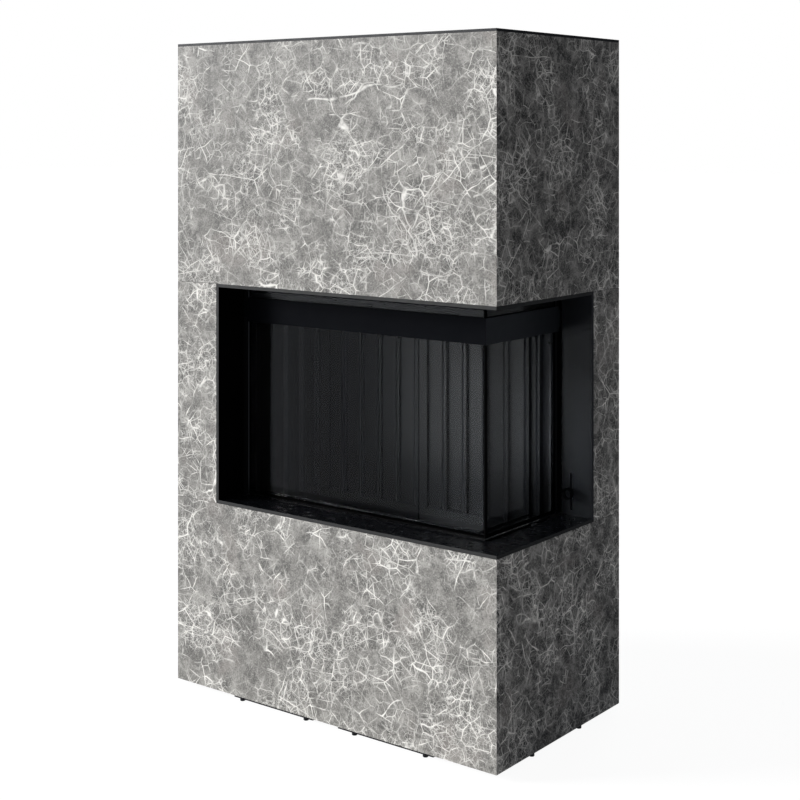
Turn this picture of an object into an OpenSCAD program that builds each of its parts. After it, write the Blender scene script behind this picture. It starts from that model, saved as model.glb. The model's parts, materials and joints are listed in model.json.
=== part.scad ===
// Corner fireplace: a steel frame clad with stone slabs, round a firebox that is
// closed by an L-shaped glass door which lifts straight up behind the upper slabs.
// Millimetres, +Z up. X runs along the front, Y goes to the back.
// Inside the modules the corner frame is used: its origin is the lower front right
// corner of the stone, so X is negative to the left and Y positive to the back.
// place() moves the whole model so that its origin is the middle of its footprint,
// on the floor under the levelling feet.

/* [Body] */
// Width of the stone body along the front
body_w = 1210; // [1190:1:1240]
// Depth of the stone body
body_d = 660; // [655:1:700]
// Height of the stone body with its cap plate
body_h = 2000; // [1990:1:2200]
// Free height of the levelling feet below the stone
foot_h = 18; // [16:1:40]
// Thickness of the stone slabs
slab_t = 12; // [10:1:12]
// Open joint between two slabs
slab_joint = 1; // [0.5:0.5:2]
// Thickness of the steel cap plate
cap_t = 8; // [5:1:10]

/* [Opening] */
// Distance from the corner to the left edge of the opening
open_w = 1042; // [1030:1:1050]
// Distance from the corner to the rear edge of the opening
open_d = 510; // [505:1:512]
// Height of the lower edge of the opening above the underside of the stone
open_z0 = 577; // [560:1:590]
// Height of the opening
open_h = 677; // [670:1:700]
// Thickness of the lining plates of the opening
trim_t = 10; // [8:1:12]
// Depth of the lining plates along the front
trim_front_d = 111; // [100:1:112]
// Depth of the lining plates along the side
trim_side_d = 99; // [90:1:112]

/* [Door] */
// Distance from the stone face to the outer face of the glass
glass_set = 118; // [117:0.5:119]
// Thickness of the glass
glass_t = 4; // [3:1:5]
// Height of the gap under the glass
glass_gap = 5; // [4:1:8]
// Height of the glass
glass_h = 633; // [620:1:640]
// Travel of the door from closed to open
door_travel = 540; // [400:10:540]
// Height of the fixed hood band over the top of the door
hood_h = 75.5; // [60:0.5:90]
// Distance from the stone face to the hood band
hood_set = 110; // [108:1:112]

/* [Hearth] */
// Distance from the front face to the face of the back lining
lining_back = 450; // [440:1:452]
// Distance from the corner to the face of the left lining
lining_left = 1005; // [1000:1:1006]
// Thickness of the fireclay lining
lining_t = 25; // [20:1:26]
// Depth of the flutes
flute_d = 9; // [6:1:12]
// Width of a flute
flute_w = 65; // [58:1:66]
// Width of the slope at the far side of a flute
flute_slope = 14; // [8:1:16]
// Distance from one flute to the next
flute_pitch = 75; // [70:0.5:78]
// Distance from the glass to the sunken hearth
ledge_w = 65; // [60:1:70]
// Depth of the hearth floor below the ledge
hearth_drop = 78; // [60:1:90]

/* [Connections] */
// Inside diameter of the flue pipe
flue_bore = 200; // [150:10:200]
// Distance from the corner to the flue axis
flue_x = 600; // [560:5:640]
// Distance from the front face to the flue axis
flue_y = 325; // [310:5:340]
// Inside diameter of the air inlet spigot
air_bore = 125; // [100:5:125]
// Height of the air inlet axis above the underside of the stone
air_z = 411; // [405:1:415]

/* [Air control] */
// Distance from the corner to the slot of the air lever
slot_x = 70.5; // [66:0.5:75]
// Height of the lower end of the slot
slot_z0 = 602; // [600:1:610]
// Length of the slot
slot_len = 111; // [100:1:116]
// Width of the slot
slot_w = 9; // [8.5:0.5:10]
// Height of the air lever in its rest position
lever_z = 655; // [650:1:660]
// Outer radius of the coil knob
coil_r = 17.5; // [14:0.5:18]
// Diameter of the wire of the coil knob
coil_wire = 4.5; // [3:0.5:5]
// Number of turns of the coil knob at its full radius
coil_turns = 2.25; // [1.25:0.25:3.25]
// Axial distance from turn to turn
coil_pitch = 9; // [7:0.5:12]

/* [Frame] */
// Width of the square frame tube
tube = 40; // [40:1:40]
// Wall of the square frame tube
tube_wall = 3; // [2:0.5:4]

/* [Counterweights] */
// Radius of the cable on the pulleys
cable_turn_r = 65; // [65:1:65]
// Diameter of the lifting cable
cable_d = 5; // [4:0.5:5]
// Height of a counterweight
weight_h = 260; // [200:10:270]

/* [Hidden] */
$fn = 48;

// Heights of the opening and its lining
open_z1 = open_z0 + open_h;
sill_z = open_z0 + trim_t;
soffit_z = open_z1 - trim_t;
// Slab heights: the joints lie level with the opening
lower_top = open_z0 - slab_joint / 2;
pier_z0 = open_z0 + slab_joint / 2;
pier_h = open_h - slab_joint;
upper_z0 = open_z1 + slab_joint / 2;
cap_z0 = body_h - cap_t;
upper_h = cap_z0 - upper_z0;
// Sheet covers of the back and of the left side
sheet = 2;
// Frame planes
frame_x1 = -slab_t;
frame_x0 = -body_w + sheet;
frame_y0 = slab_t;
frame_y1 = body_d - sheet;
weld_gap = 0.5;
base_z0 = -3;
skid_t = 7;
skid_z = base_z0 - skid_t;
base_z1 = base_z0 + tube;
top_z0 = cap_z0 - tube;
// Door
door_z0 = sill_z + glass_gap;
door_z1 = door_z0 + glass_h;
door_left = -1013;
door_rear = 487;
rail_z0 = 1127;
rail_d = 16;
hood_z0 = 1129;
hood_t = 3;
tab_t = 2.5;
bead_w = 4;
bead_set = glass_set - 1.5;
// Hearth
ledge_z = sill_z - 4;
ledge_in = glass_set + ledge_w;
plate = 4;
hearth_z = ledge_z - hearth_drop;
slab_floor_t = 15;
pan_z0 = hearth_z - slab_floor_t - plate;
lining_z1 = 1165;
roof_z = 1206;
wall_y = lining_back + lining_t;
wall_x = -lining_left - lining_t;
header_set = 142;
header_t = 3;
edge_x = -150;
left_lining_y = 219;
edge_plate_t = 7;
edge_plate_y = wall_y - edge_plate_t;
edge_screw_x = -128;
edge_screw_z = [675, 1097];
dome_z1 = 1480;
// Guide rails and lifting gear
guide_z1 = door_z1 + door_travel + 3;
pulley_z = 1845;
left_cable_x = -1000;
cable_y = 130;
rear_cable_y = 482;
rear_cable_x = -130;
left_weight_x = left_cable_x - 2 * cable_turn_r;
rear_weight_y = rear_cable_y + 2 * cable_turn_r;
weight_z0 = 1180;
pulley_w = 14;
axle_r = 6;
// Air control
gate_y = 513;
gate_t = 3;
register_y = 517;
register_d = 38;
register_z1 = 866;
duct_wall = 2;
duct_h = 60;
duct_z = 380;
rod_r = 3.5;
rod_end = 498;

module place() {
    translate([body_w / 2, -body_d / 2, foot_h]) children();
}

// Box between two opposite corners
module block(low, high) {
    translate(low) cube(high - low);
}

// Square hollow tubes along the three axes, starting at a corner
module tube_x(at, len) {
    translate(at) difference() {
        cube([len, tube, tube]);
        translate([-1, tube_wall, tube_wall])
            cube([len + 2, tube - 2 * tube_wall, tube - 2 * tube_wall]);
    }
}

module tube_y(at, len) {
    translate(at) difference() {
        cube([tube, len, tube]);
        translate([tube_wall, -1, tube_wall])
            cube([tube - 2 * tube_wall, len + 2, tube - 2 * tube_wall]);
    }
}

module tube_z(at, len, size = tube) {
    translate(at) difference() {
        cube([size, size, len]);
        translate([tube_wall, tube_wall, -1])
            cube([size - 2 * tube_wall, size - 2 * tube_wall, len + 2]);
    }
}

// Band that runs along the front and turns the corner: in plan an L whose outer
// faces lie `set` behind the stone, with its own depth on each side
module corner_band(left, rear, set, front_t, side_t, z0, z1) {
    translate([0, 0, z0]) linear_extrude(z1 - z0) polygon([
        [left, set], [-set, set], [-set, rear],
        [-set - side_t, rear], [-set - side_t, set + front_t], [left, set + front_t]
    ]);
}

// Prism of a profile drawn in X and Z, from y0 to y1
module prism_y(profile, y0, y1) {
    translate([0, y1, 0]) rotate([90, 0, 0]) linear_extrude(y1 - y0) polygon(profile);
}

// Prism of a profile drawn in Y and Z, from x0 to x1
module prism_x(profile, x0, x1) {
    translate([x0, 0, 0]) rotate([90, 0, 90]) linear_extrude(x1 - x0) polygon(profile);
}

// ---- Stone slabs ------------------------------------------------------------

// Front slab from the left edge to the corner, mitred at the corner
module front_slab(z0, h) {
    translate([0, 0, z0]) linear_extrude(h) polygon([
        [-body_w, 0], [0, 0], [-slab_t, slab_t], [-body_w, slab_t]
    ]);
}

// Side slab from the corner to the back, mitred at the corner
module side_slab(z0, h) {
    translate([0, 0, z0]) linear_extrude(h) polygon([
        [0, 0], [0, body_d], [-slab_t, body_d], [-slab_t, slab_t]
    ]);
}

module upper_front_panel() {
    color("darkgray") place() front_slab(upper_z0, upper_h);
}

module upper_side_panel() {
    color("dimgray") place() side_slab(upper_z0, upper_h);
}

module lower_front_panel() {
    color("darkgray") place() front_slab(0, lower_top);
}

module lower_side_panel() {
    color("dimgray") place() side_slab(0, lower_top);
}

module left_pier_panel() {
    color("darkgray") place()
        block([-body_w, 0, pier_z0], [-open_w - slab_joint / 2, slab_t, pier_z0 + pier_h]);
}

module rear_pier_panel() {
    color("dimgray") place()
        block([-slab_t, open_d + slab_joint / 2, pier_z0], [0, body_d, pier_z0 + pier_h]);
}

// Row of upright vent slots, cut along Y
module vent_slots(x0, count, pitch, y0, len, width) {
    for (i = [0 : count - 1])
        translate([x0 + i * pitch, y0, cap_z0 - 1]) {
            translate([-width / 2, 0, 0]) cube([width, len, cap_t + 2]);
            cylinder(d = width, h = cap_t + 2);
            translate([0, len, 0]) cylinder(d = width, h = cap_t + 2);
        }
}

// Cap plate with the flue hole and two fields of convection slots
module top_cap() {
    flue_hole = flue_bore + 40;
    color("black") place() difference() {
        block([-body_w, 0, cap_z0], [0, body_d, body_h]);
        translate([-flue_x, flue_y, cap_z0 - 1]) cylinder(d = flue_hole, h = cap_t + 2, $fn = 96);
        vent_slots(-1120, 8, 32, 230, 200, 14);
        vent_slots(-364, 8, 32, 230, 200, 14);
    }
}

// Row of upright slots through the back sheet
module back_slots(z0, len) {
    for (i = [0 : 17])
        block([-1060 + i * 50, body_d - sheet - 1, z0], [-1048 + i * 50, body_d + 1, z0 + len]);
}

// Back sheet with convection slots and the hole for the air duct
module rear_cover() {
    color("dimgray") place() difference() {
        block([frame_x0, body_d - sheet, 2], [-slab_t, body_d, cap_z0]);
        back_slots(90, 110);
        back_slots(1780, 110);
        translate([-flue_x, body_d + 1, air_z]) rotate([90, 0, 0]) cylinder(d = air_bore + 25, h = sheet + 2);
    }
}

module left_cover() {
    color("dimgray") place()
        block([-body_w, slab_t, 2], [frame_x0, body_d, cap_z0]);
}

// ---- Steel frame ------------------------------------------------------------

// Rails on the floor: a front and a rear rail, two ends and two bearers between them
module base_rails() {
    long = frame_x1 - frame_x0;
    short = frame_y1 - frame_y0 - 2 * tube - 2 * weld_gap;
    color("gray") place() {
        for (y = [frame_y0, frame_y1 - tube]) tube_x([frame_x0, y, base_z0], long);
        for (x = [frame_x0, -960, -260, frame_x1 - tube])
            tube_y([x, frame_y0 + tube + weld_gap, base_z0], short);
    }
}

// Plates under the front and rear rails that take the threads of the feet
module skid_plates() {
    color("black") place()
        for (y = [frame_y0, frame_y1 - tube]) {
            block([-976, y, skid_z], [-659, y + tube, base_z0]);
            block([-563, y, skid_z], [-219, y + tube, base_z0]);
        }
}

// Levelling foot: a round stud with a chamfered lower end
module foot(x, y, top) {
    stud_r = 8;
    chamfer = 1;
    translate([x, y, -foot_h]) rotate_extrude($fn = 32) polygon([
        [0, 0], [stud_r - chamfer, 0], [stud_r, chamfer], [stud_r, top + foot_h], [0, top + foot_h]
    ]);
}

module levelling_feet() {
    color("black") place() {
        for (x = [-949, -692, -507, -252])
            for (y = [frame_y0 + 8.5, frame_y1 - 8.5]) foot(x, y, skid_z);
        for (y = [205, 459])
            for (x = [frame_x0 + 8.5, frame_x1 - 8.5]) foot(x, y, base_z0);
    }
}

// Uprights at the left front, left rear and right rear corners
module frame_posts() {
    color("gray") place() {
        for (y = [frame_y0, frame_y1 - tube]) tube_z([frame_x0, y, base_z1], cap_z0 - base_z1);
        tube_z([frame_x1 - tube, frame_y1 - tube, base_z1], cap_z0 - base_z1);
    }
}

// The front right corner has a post below the opening and a hanger above it
module corner_posts() {
    lower_len = open_z0 - tube - base_z1;
    upper_len = top_z0 - open_z1 - tube;
    color("gray") place() {
        tube_z([frame_x1 - tube, frame_y0, base_z1], lower_len);
        tube_z([frame_x1 - tube, frame_y0, open_z1 + tube], upper_len);
    }
}

// Front, right and left rail of one ring, separate bars with a weld gap
module ring_rails(z) {
    tube_x([frame_x0 + tube + weld_gap, frame_y0, z], frame_x1 - frame_x0 - tube - weld_gap);
    tube_y([frame_x1 - tube, frame_y0 + tube + weld_gap, z], frame_y1 - frame_y0 - 2 * tube - weld_gap);
    tube_y([frame_x0, frame_y0 + tube, z], frame_y1 - frame_y0 - 2 * tube);
}

// Rails right under and right over the opening
module opening_rails() {
    color("gray") place() {
        ring_rails(open_z0 - tube);
        ring_rails(open_z1);
    }
}

// The top ring, and two beams in it that carry the pulleys
module top_rails() {
    inner_w = frame_x1 - frame_x0 - 2 * tube - 2 * weld_gap;
    inner_x = frame_x0 + tube + weld_gap;
    side_beam_y = cable_y + tube / 2 + weld_gap;
    color("gray") place() {
        ring_rails(top_z0);
        tube_x([inner_x, frame_y1 - tube, top_z0], inner_w);
        tube_x([inner_x, cable_y - tube / 2, top_z0], inner_w);
        tube_y([rear_cable_x - tube / 2, side_beam_y, top_z0],
            frame_y1 - tube - weld_gap - side_beam_y);
    }
}

module insert_legs() {
    leg = 30;
    color("gray") place()
        for (x = [-955, -255])
            for (y = [200, 430]) tube_z([x, y, base_z1], pan_z0 - base_z1, leg);
}

// ---- Lining of the opening --------------------------------------------------

// Slopes that mitre the level plates with the jambs, for z0 the outer face and z1 the inner
module mitre_cut(z0, z1) {
    intersection() {
        prism_y([[-open_w, z0], [1, z0], [1, z1], [-open_w + trim_t, z1]], -1, open_d + 1);
        prism_x([[-1, z0], [open_d, z0], [open_d - trim_t, z1], [-1, z1]], -open_w - 1, 1);
    }
}

// Sill with a shallow seat for its cover plate
module sill_plate() {
    color("black") place() difference() {
        intersection() {
            corner_band(-open_w, open_d, 0, trim_front_d, trim_side_d, open_z0, sill_z);
            mitre_cut(open_z0, sill_z);
        }
        block([-93, 95, sill_z - 2], [-27, 296, sill_z + 1]);
    }
}

// Flat plate that lies flush in the sill
module sill_cover() {
    color("black") place() block([-92.2, 95.8, sill_z - 2], [-27.8, 295.2, sill_z]);
}

module soffit_plate() {
    color("black") place() intersection() {
        corner_band(-open_w, open_d, 0, trim_front_d, trim_side_d, soffit_z, open_z1);
        mitre_cut(open_z1, soffit_z);
    }
}

module left_jamb_plate() {
    color("black") place() prism_y([
        [-open_w, open_z0], [-open_w + trim_t, sill_z],
        [-open_w + trim_t, soffit_z], [-open_w, open_z1]
    ], 0, trim_front_d);
}

// Rear jamb, with the upright slot that the air lever moves in
module rear_jamb_plate() {
    jamb_d = trim_side_d + 4;
    color("black") place() difference() {
        prism_x([
            [open_d, open_z0], [open_d - trim_t, sill_z],
            [open_d - trim_t, soffit_z], [open_d, open_z1]
        ], -jamb_d, 0);
        for (z = [slot_z0 + slot_w / 2, slot_z0 + slot_len - slot_w / 2])
            translate([-slot_x, open_d + 1, z]) rotate([90, 0, 0]) cylinder(d = slot_w, h = trim_t + 2);
        block([-slot_x - slot_w / 2, open_d - trim_t - 1, slot_z0 + slot_w / 2],
            [-slot_x + slot_w / 2, open_d + 1, slot_z0 + slot_len - slot_w / 2]);
    }
}

// ---- Firebox ----------------------------------------------------------------

// Steel pan of the sunken hearth, with the ledge that runs behind the glass and
// its low upstand at the edge of the hearth
module hearth_pan() {
    ledge_set = glass_set + 6;
    ledge_d = ledge_in - ledge_set;
    skirt_set = ledge_in - plate;
    lip = 3;
    color("black") place() {
        block([wall_x - plate, skirt_set, pan_z0], [edge_x, wall_y + plate, pan_z0 + plate]);
        corner_band(wall_x, lining_back, skirt_set, plate, plate, pan_z0, hearth_z);
        corner_band(-lining_left, lining_back, skirt_set, plate, plate, hearth_z, ledge_z);
        corner_band(-lining_left, lining_back, ledge_set, ledge_d, ledge_d, ledge_z - plate, ledge_z);
        corner_band(-lining_left, lining_back, ledge_in - lip, lip, lip, ledge_z, ledge_z + plate);
        block([edge_x, lining_back, ledge_z - plate], [-ledge_set, edge_plate_y, ledge_z]);
    }
}

// Floor of the hearth in two fireclay slabs
module hearth_slabs() {
    joint_x = -(lining_left + ledge_in) / 2;
    z0 = pan_z0 + plate;
    color("dimgray") place() {
        block([wall_x, ledge_in, z0], [joint_x - 0.5, wall_y, hearth_z]);
        block([joint_x + 0.5, ledge_in, z0], [-ledge_in, wall_y, hearth_z]);
    }
}

// Back wall, with a flange that holds the rear guide rail
module firebox_back_wall() {
    color("dimgray") place() {
        block([wall_x - plate, wall_y, pan_z0 + plate], [-141, wall_y + plate, roof_z]);
        block([-145, wall_y + plate, sill_z], [-141, 515, roof_z]);
    }
}

// Left wall, with a folded post that takes the place of the lining at its front
module firebox_left_wall() {
    front = header_set + header_t + 1;
    color("dimgray") place() {
        block([wall_x - plate, header_set, pan_z0 + plate], [wall_x, wall_y, roof_z]);
        block([wall_x, front, hearth_z], [-lining_left, front + plate, lining_z1]);
        block([-lining_left - plate, front, hearth_z], [-lining_left, left_lining_y - weld_gap, lining_z1]);
    }
}

// One flute: a straight near side, a sloping far side, and ends that slope up to the
// face at 45 degrees
module flute(width) {
    z0 = hearth_z + 41;
    z1 = lining_z1 - 41;
    slope = flute_d;
    intersection() {
        prism_x([
            [-1, z0 - 1], [flute_d, z0 + slope], [flute_d, z1 - slope], [-1, z1 + 1]
        ], 0, width);
        translate([0, 0, z0 - 2]) linear_extrude(z1 - z0 + 4) polygon([
            [-0.2, -1], [width + 1, -1], [width - flute_slope, flute_d + 1], [1.6, flute_d + 1]
        ]);
    }
}

// Fluted fireclay panel: its face lies in Y = 0 and its length runs along X
module fluted_panel(length, first, count, pitch) {
    difference() {
        block([0, 0, hearth_z], [length, lining_t, lining_z1]);
        for (i = [0 : count - 1])
            let (start = first + i * pitch, width = min(flute_w, length - 8 - start))
                translate([start, 0, 0]) flute(width);
    }
}

module left_lining() {
    color("dimgray") place() translate([-lining_left, left_lining_y, 0]) rotate([0, 0, 90])
        fluted_panel(lining_back - left_lining_y, 8, 3, flute_pitch);
}

module back_lining_left() {
    color("dimgray") place() translate([wall_x, lining_back, 0])
        fluted_panel(433 - slab_joint / 2, 61, 5, flute_pitch - 1.5);
}

module back_lining_right() {
    start = wall_x + 433 + slab_joint / 2;
    color("dimgray") place() translate([start, lining_back, 0])
        fluted_panel(edge_x - start, 31, 6, flute_pitch + 0.4);
}

// Upright plate between the right end of the back lining and the door
module lining_edge_plate() {
    color("gray") place() difference() {
        block([edge_x, edge_plate_y, 593], [-123, wall_y, 1125]);
        for (z = edge_screw_z)
            translate([edge_screw_x, edge_plate_y - 1, z]) rotate([-90, 0, 0])
                cylinder(d = 6.1, h = edge_plate_t + 2);
    }
}

// Two flat-headed screws of the edge plate
module edge_plate_screws() {
    head_h = 1.5;
    color("black") place()
        for (z = edge_screw_z)
            translate([edge_screw_x, edge_plate_y, z]) rotate([-90, 0, 0]) {
                cylinder(d = 6, h = edge_plate_t);
                translate([0, 0, -head_h]) cylinder(d = 8, h = head_h);
            }
}

// Smoke baffle that rests on the linings, with a passage in front of it
module baffle_plate() {
    color("dimgray") place()
        block([wall_x, 240, lining_z1], [edge_x, wall_y, lining_z1 + 20]);
}

// Roof with a large smoke opening and an L-shaped header above the door
module firebox_roof() {
    color("dimgray") place() {
        difference() {
            block([wall_x - plate, header_set, roof_z], [-header_set, wall_y + plate, roof_z + plate]);
            block([-996, 184, roof_z - 1], [-204, 456, roof_z + plate + 1]);
        }
        corner_band(wall_x, wall_y, header_set, header_t, header_t, rail_z0 + 20, roof_z);
    }
}

// Smoke dome that narrows from the roof opening to the round flue
module smoke_dome() {
    wall = 3;
    color("dimgray") place() difference() {
        hull() {
            block([-1000, 180, roof_z + plate], [-200, 460, roof_z + plate + 30]);
            translate([-flue_x, flue_y, dome_z1 - 2]) cylinder(d = flue_bore + 8, h = 2, $fn = 32);
        }
        hull() {
            block([-1000 + wall, 180 + wall, roof_z + plate - 1],
                [-200 - wall, 460 - wall, roof_z + plate + 30]);
            translate([-flue_x, flue_y, dome_z1]) cylinder(d = flue_bore, h = 1, $fn = 32);
        }
    }
}

// Straight flue pipe; a stove pipe of the same nominal size enters it from above
module flue_pipe() {
    color("dimgray") place() translate([-flue_x, flue_y, dome_z1]) difference() {
        cylinder(d = flue_bore + 8, h = cap_z0 - dome_z1, $fn = 96);
        translate([0, 0, -1]) cylinder(d = flue_bore, h = cap_z0 - dome_z1 + 2, $fn = 96);
    }
}

// Fixed L-shaped band in front of the top of the door, with a joggled tab at each
// end that reaches the guide rails
module hood_band() {
    color("black") place() {
        corner_band(door_left, 494, hood_set, hood_t, hood_t, hood_z0, hood_z0 + hood_h);
        block([-1040, hood_set + hood_t, hood_z0 + 12],
            [-1006, hood_set + hood_t + tab_t, hood_z0 + hood_h - 12]);
        block([-hood_set - hood_t - tab_t, 488, hood_z0 + 12],
            [-hood_set - hood_t, 512, hood_z0 + hood_h - 12]);
    }
}

// ---- Air supply -------------------------------------------------------------

// Hollow box with walls of the duct's thickness
module hollow_box(low, high) {
    wall = [duct_wall, duct_wall, duct_wall];
    difference() {
        block(low, high);
        block(low + wall, high - wall);
    }
}

// Air box under the hearth, with a round hole for the spigot and a port for the duct
module air_box() {
    left = -flue_x - 100;
    right = -flue_x + 100;
    back = wall_y + plate;
    color("gray") place() difference() {
        hollow_box([left, 279, 336], [right, back, pan_z0]);
        translate([-flue_x, back - duct_wall - 1, air_z]) rotate([-90, 0, 0])
            cylinder(d = air_bore, h = duct_wall + 2, $fn = 96);
        block([right - 30, back - duct_wall - 1, duct_z + duct_wall],
            [right - 4, back + 1, duct_z + duct_h - duct_wall]);
    }
}

// Round spigot behind the air box for an outside air duct
module air_spigot() {
    length = 176;
    color("gray") place() translate([-flue_x, wall_y + plate, air_z]) rotate([-90, 0, 0])
        difference() {
            cylinder(d = air_bore + 2 * duct_wall, h = length, $fn = 96);
            translate([0, 0, -1]) cylinder(d = air_bore, h = length + 2, $fn = 96);
        }
}

// Flat duct from the air box to the register, welded from three tubes: one goes back,
// one to the right and one up
module air_duct() {
    wall = duct_wall;
    back = wall_y + plate;
    rear = register_y + register_d;
    neck_x1 = -flue_x + 98;
    neck_x0 = neck_x1 - 30;
    riser_x0 = -104;
    riser_x1 = -60;
    duct_z1 = duct_z + duct_h;
    color("gray") place() {
        difference() {
            block([neck_x0, back, duct_z], [neck_x1, register_y - weld_gap, duct_z1]);
            block([neck_x0 + wall, back - 1, duct_z + wall], [neck_x1 - wall, register_y, duct_z1 - wall]);
        }
        difference() {
            hollow_box([neck_x0, register_y, duct_z], [riser_x1, rear, duct_z1]);
            block([neck_x0 + wall, register_y - 1, duct_z + wall],
                [neck_x1 - wall, register_y + wall + 1, duct_z1 - wall]);
            block([riser_x0 + wall, register_y + wall, duct_z1 - wall - 1],
                [riser_x1 - wall, rear - wall, duct_z1 + 1]);
        }
        difference() {
            block([riser_x0, register_y, duct_z1 + weld_gap], [riser_x1, rear, open_z0]);
            block([riser_x0 + wall, register_y + wall, duct_z1],
                [riser_x1 - wall, rear - wall, open_z0 + 1]);
        }
    }
}

// Register box behind the rear jamb: one air port, and two runners for the gate
module air_register() {
    left = -slot_x - 34.5;
    right = -slot_x + 35.5;
    rear = register_y + register_d;
    runner = 4;
    color("gray") place() {
        difference() {
            hollow_box([left, register_y, open_z0], [right, rear, register_z1]);
            block([-slot_x - 24, register_y - 1, 717], [-slot_x + 24, register_y + duct_wall + 1, 757]);
            block([-102, register_y + duct_wall, open_z0 - 1], [-62, rear - duct_wall, open_z0 + duct_wall + 1]);
        }
        for (x = [left, right - runner])
            block([x, open_d, open_z0 + 5], [x + runner, register_y, register_z1 - 4]);
    }
}

// Sliding gate with one port
module air_gate() {
    color("silver") place() difference() {
        block([-slot_x - 30, gate_y, 632], [-slot_x + 31, gate_y + gate_t, 808]);
        block([-slot_x - 24, gate_y - 1, 665], [-slot_x + 24, gate_y + gate_t + 1, 705]);
    }
}

// Rod of the gate that comes out through the slot
module air_lever() {
    collar_h = 2.5;
    color("black") place() translate([-slot_x, gate_y, lever_z]) rotate([90, 0, 0]) {
        cylinder(r = rod_r, h = gate_y - rod_end);
        cylinder(r = rod_r + 3, h = collar_h);
    }
}

// The knob is one wire: it leaves the rod straight, opens in half a turn to its full
// radius, winds round the axis, and ends straight.
curl_rings = 8;
coil_mean_r = coil_r - coil_wire / 2;
coil_lead = coil_wire;
coil_open = 0.5;
coil_open_rise = 4;
open_steps = round(coil_open * curl_rings);
coil_steps = round((coil_open + coil_turns) * curl_rings);

// Distance of the wire's centre line from the axis after t turns
function coil_radius(t) =
    t < coil_open ? coil_mean_r * (1 - cos(180 * t / coil_open)) / 2 : coil_mean_r;

// Distance of the wire's centre line from the end of the rod after t turns
function coil_rise(t) =
    t < coil_open
        ? coil_lead + coil_open_rise * t / coil_open
        : coil_lead + coil_open_rise + coil_pitch * (t - coil_open);

function coil_point(i) =
    let (t = i / curl_rings, a = 360 * t - 90)
        [coil_radius(t) * cos(a), coil_radius(t) * sin(a), coil_rise(t)];

coil_curl = [for (i = [0 : coil_steps]) coil_point(i)];
coil_tail = let (n = coil_steps) coil_curl[n] + coil_wire * unit(coil_curl[n] - coil_curl[n - 1]);
coil_path = concat([[0, 0, 0]], coil_curl, [coil_tail]);

function unit(v) = v / norm(v);

function path_direction(p, i) =
    i <= 1 ? [0, 0, 1]
    : i == len(p) - 1 ? unit(p[i] - p[i - 1])
    : unit(unit(p[i + 1] - p[i]) + unit(p[i] - p[i - 1]));

// Frame carried along the path without twist
function carried(v, direction) = unit(v - (v * direction) * direction);

function path_frames(p, i, side) =
    let (direction = path_direction(p, i), here = carried(side, direction))
        i == len(p) - 1 ? [[here, cross(direction, here)]]
        : concat([[here, cross(direction, here)]], path_frames(p, i + 1, here));

// Least distance between two stretches of the wire that lie over half a turn apart,
// less the wire's diameter
function coil_gap(p) = min([
    for (i = [0 : len(p) - 1])
        for (j = [i + curl_rings / 2 + 1 : 1 : len(p) - 1]) norm(p[i] - p[j])
]) - coil_wire;

module swept_tube(p, d, sides) {
    frames = path_frames(p, 0, [1, 0, 0]);
    points = [
        for (i = [0 : len(p) - 1])
            for (s = [0 : sides - 1])
                let (a = 360 * s / sides)
                    p[i] + (cos(a) * frames[i][0] + sin(a) * frames[i][1]) * d / 2
    ];
    last = (len(p) - 1) * sides;
    skin = [
        for (i = [0 : len(p) - 2])
            for (s = [0 : sides - 1])
                let (a = i * sides + s, b = i * sides + (s + 1) % sides)
                    for (face = [[a, a + sides, b], [b, a + sides, b + sides]]) face
    ];
    start_cap = [for (s = [1 : sides - 2]) [0, s, s + 1]];
    end_cap = [for (s = [1 : sides - 2]) [last, last + s + 1, last + s]];
    polyhedron(points, concat(skin, start_cap, end_cap));
}

echo(least_gap_of_the_coil = coil_gap(coil_path));

module coil_knob() {
    color("black") place() translate([-slot_x, rod_end, lever_z]) rotate([90, 0, 0])
        swept_tube(coil_path, coil_wire, 6);
}

// ---- Door -------------------------------------------------------------------

module front_glass() {
    color("lightgray", 0.4) place()
        block([door_left, glass_set, door_z0], [-glass_set - 2.5, glass_set + glass_t, door_z1]);
}

module side_glass() {
    color("lightgray", 0.4) place()
        block([-glass_set - glass_t, glass_set + 8, door_z0], [-glass_set, door_rear, door_z1]);
}

// Black seal that fills the corner between the panes and runs under both of them
module glass_seal() {
    seal_h = 3;
    inner = glass_set + glass_t;
    color("black") place() {
        translate([0, 0, door_z0]) linear_extrude(glass_h) polygon([
            [-glass_set - 2.5, glass_set], [-glass_set - 0.8, glass_set], [-glass_set, glass_set + 0.8],
            [-glass_set, glass_set + 8], [-inner, glass_set + 8], [-inner, inner], [-glass_set - 2.5, inner]
        ]);
        corner_band(door_left, door_rear, glass_set, glass_t, glass_t, door_z0 - seal_h, door_z0);
    }
}

// L-shaped channel behind the top of the panes, open towards the firebox
module door_top_rail() {
    inner = glass_set + glass_t;
    rear = door_rear + bead_w;
    flange = 4;
    color("black") place() {
        corner_band(door_left, rear, inner, flange, flange, rail_z0, door_z1);
        corner_band(door_left, rear, inner, rail_d, rail_d, rail_z0, rail_z0 + flange);
        corner_band(door_left, rear, inner, rail_d, rail_d, door_z1 - flange, door_z1);
    }
}

// Left stile behind the glass, with a slanted bead beside the pane and a tongue
// that runs in the left guide rail
module left_stile() {
    inner = glass_set + glass_t;
    color("black") place() {
        block([door_left, inner, door_z0], [door_left + 28, inner + rail_d, rail_z0]);
        translate([0, 0, door_z0]) linear_extrude(glass_h) polygon([
            [door_left - bead_w, bead_set], [door_left, glass_set + 0.5],
            [door_left, inner + 14], [door_left - 27, inner + 14],
            [door_left - 27, inner], [door_left - bead_w, inner]
        ]);
    }
}

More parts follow.
